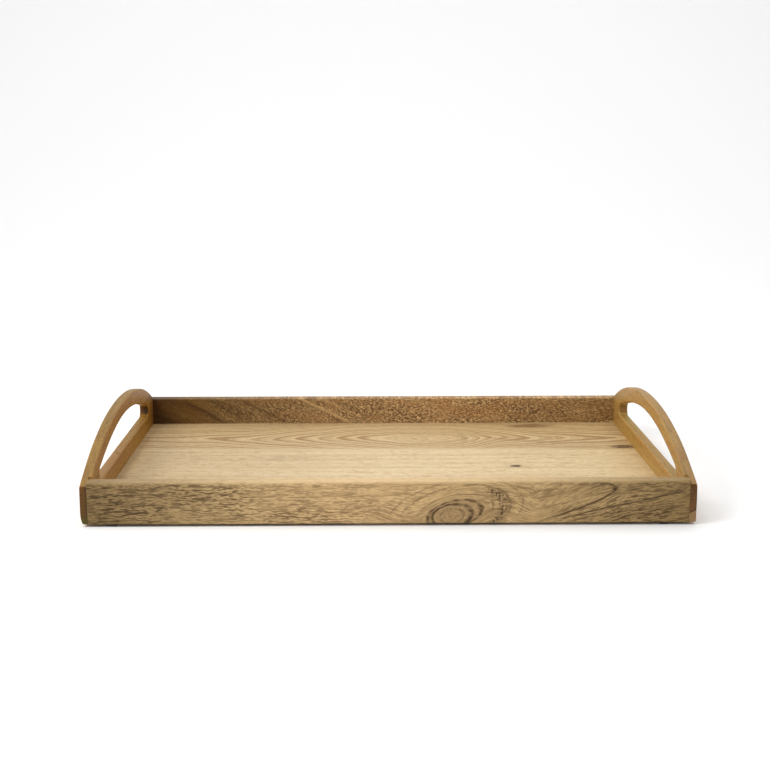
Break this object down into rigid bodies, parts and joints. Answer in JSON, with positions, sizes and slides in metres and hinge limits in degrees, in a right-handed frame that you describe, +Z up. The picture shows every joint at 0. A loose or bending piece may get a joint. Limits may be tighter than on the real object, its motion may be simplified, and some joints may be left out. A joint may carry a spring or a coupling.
{
  "type": "serving tray",
  "caption": "Rectangular wooden serving tray with low walls and an arched board with a half-moon handle opening at each end.",
  "frame": {"origin": "on the surface the tray stands on, under the middle of its outline", "axes": "+X along the tray towards the right handle, +Y from the front wall to the rear wall, +Z up"},
  "size_m": [0.5, 0.33, 0.07],
  "materials": {
    "wall_wood": "satin",
    "handle_wood": "satin",
    "floor_wood": "satin",
    "dowel_wood": "matte",
    "foot_rubber": "matte"
  },
  "bodies": {
    "root": {"front_wall": "wall_wood", "rear_wall": "wall_wood", "left_handle_board": "handle_wood", "right_handle_board": "handle_wood", "floor_plank_front": "floor_wood", "floor_plank_middle": "floor_wood", "floor_plank_rear": "floor_wood", "front_left_corner_dowels": "dowel_wood", "front_right_corner_dowels": "dowel_wood", "rear_left_corner_dowels": "dowel_wood", "rear_right_corner_dowels": "dowel_wood", "front_left_foot": "foot_rubber", "front_right_foot": "foot_rubber", "rear_left_foot": "foot_rubber", "rear_right_foot": "foot_rubber"}
  },
  "joints": []
}
